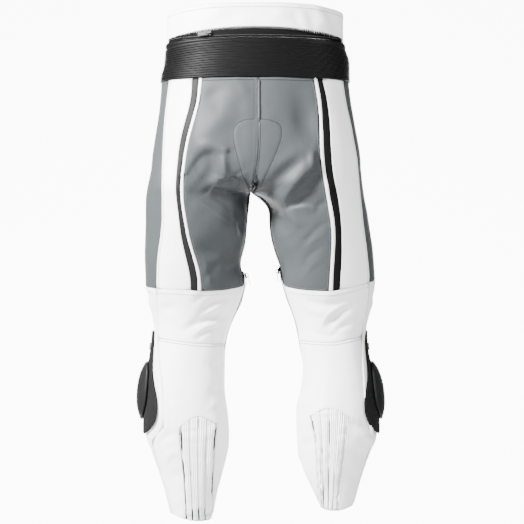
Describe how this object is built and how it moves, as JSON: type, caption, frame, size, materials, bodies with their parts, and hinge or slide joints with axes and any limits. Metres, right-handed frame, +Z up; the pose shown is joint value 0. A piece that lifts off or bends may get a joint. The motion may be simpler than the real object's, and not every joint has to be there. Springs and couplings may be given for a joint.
{
  "type": "leather motorcycle trousers",
  "caption": "Protective leather riding trousers in their worn, hollow shape, with a ribbed stretch waist, side stripes, knee sliders and pleated calf inserts.",
  "frame": {"origin": "middle of the waist, at the height where the wearer's hips hold the trousers", "axes": "+Z up towards the waist's edge, -Y the garment's front, +X the wearer's left"},
  "size_m": [0.4886, 0.2509, 0.9908],
  "materials": {
    "white_leather": "smooth, slightly glossy",
    "grey_leather": "fine grain, satin",
    "black_leather": "padded rolls, satin",
    "stretch_fabric": "ribbed aramid stretch",
    "zip_tape": "woven tape",
    "hook_and_loop": "looped pile",
    "slider_plastic": "moulded, satin",
    "zip_metal": "dark lacquered metal",
    "tab_rubber": "moulded, matt"
  },
  "bodies": {
    "trousers": {"yoke_back": "white_leather", "waist_tab": "white_leather", "waistband_front_L": "white_leather", "waistband_front_R": "white_leather", "stripe_wide_L": "white_leather", "stripe_wide_R": "white_leather", "stripe_narrow_L": "white_leather", "stripe_narrow_R": "white_leather", "knee_front_L": "white_leather", "knee_front_R": "white_leather", "shin_front_L": "white_leather", "shin_front_R": "white_leather", "shin_side_L": "white_leather", "shin_side_R": "white_leather", "knee_back_L": "white_leather", "knee_back_R": "white_leather", "calf_back_L": "white_leather", "calf_back_R": "white_leather", "calf_insert_L": "white_leather", "calf_insert_R": "white_leather", "front_L": "grey_leather", "front_R": "grey_leather", "side_L": "grey_leather", "side_R": "grey_leather", "seat_L": "grey_leather", "seat_R": "grey_leather", "rib_panel_back": "black_leather", "waist_front_L": "black_leather", "waist_front_R": "black_leather", "stripe_dark_L": "black_leather", "stripe_dark_R": "black_leather", "inner_stretch_L": "stretch_fabric", "inner_stretch_R": "stretch_fabric", "connection_zip": "zip_tape", "fly_zip": "zip_tape", "leg_zip_L": "zip_tape", "leg_zip_R": "zip_tape", "slider_base_L": "hook_and_loop", "slider_base_R": "hook_and_loop", "slider_puck_L": "slider_plastic", "slider_puck_R": "slider_plastic", "slider_tab_L": "tab_rubber", "slider_tab_R": "tab_rubber", "connection_zip_slider": "zip_metal", "fly_zip_slider": "zip_metal", "leg_zip_L_slider": "zip_metal", "leg_zip_R_slider": "zip_metal", "waist_stud": "zip_metal"},
    "connection_zip_pull": {"connection_zip_pull": "zip_metal"},
    "fly_zip_pull": {"fly_zip_pull": "zip_metal"},
    "leg_zip_L_pull": {"leg_zip_L_pull": "zip_metal"},
    "leg_zip_R_pull": {"leg_zip_R_pull": "zip_metal"}
  },
  "joints": [
    {"name": "connection_zip_pull_swing", "type": "hinge", "parent": "trousers", "child": "connection_zip_pull", "pos_m": [0.09161, 0.09459, -0.00042], "axis": [0.0692, -0.0762, 0.9947], "range_deg": [0, 110]},
    {"name": "fly_zip_pull_swing", "type": "hinge", "parent": "trousers", "child": "fly_zip_pull", "pos_m": [-0.006, -0.10948, -0.00591], "axis": [-1, 0, 0], "range_deg": [0, 110]},
    {"name": "leg_zip_L_pull_swing", "type": "hinge", "parent": "trousers", "child": "leg_zip_L_pull", "pos_m": [0.01696, -0.0106, -0.46008], "axis": [-0.0092, 1, 0], "range_deg": [0, 110]},
    {"name": "leg_zip_R_pull_swing", "type": "hinge", "parent": "trousers", "child": "leg_zip_R_pull", "pos_m": [-0.04108, -0.00904, -0.45248], "axis": [-0.0346, -0.9994, 0], "range_deg": [0, 110]}
  ]
}
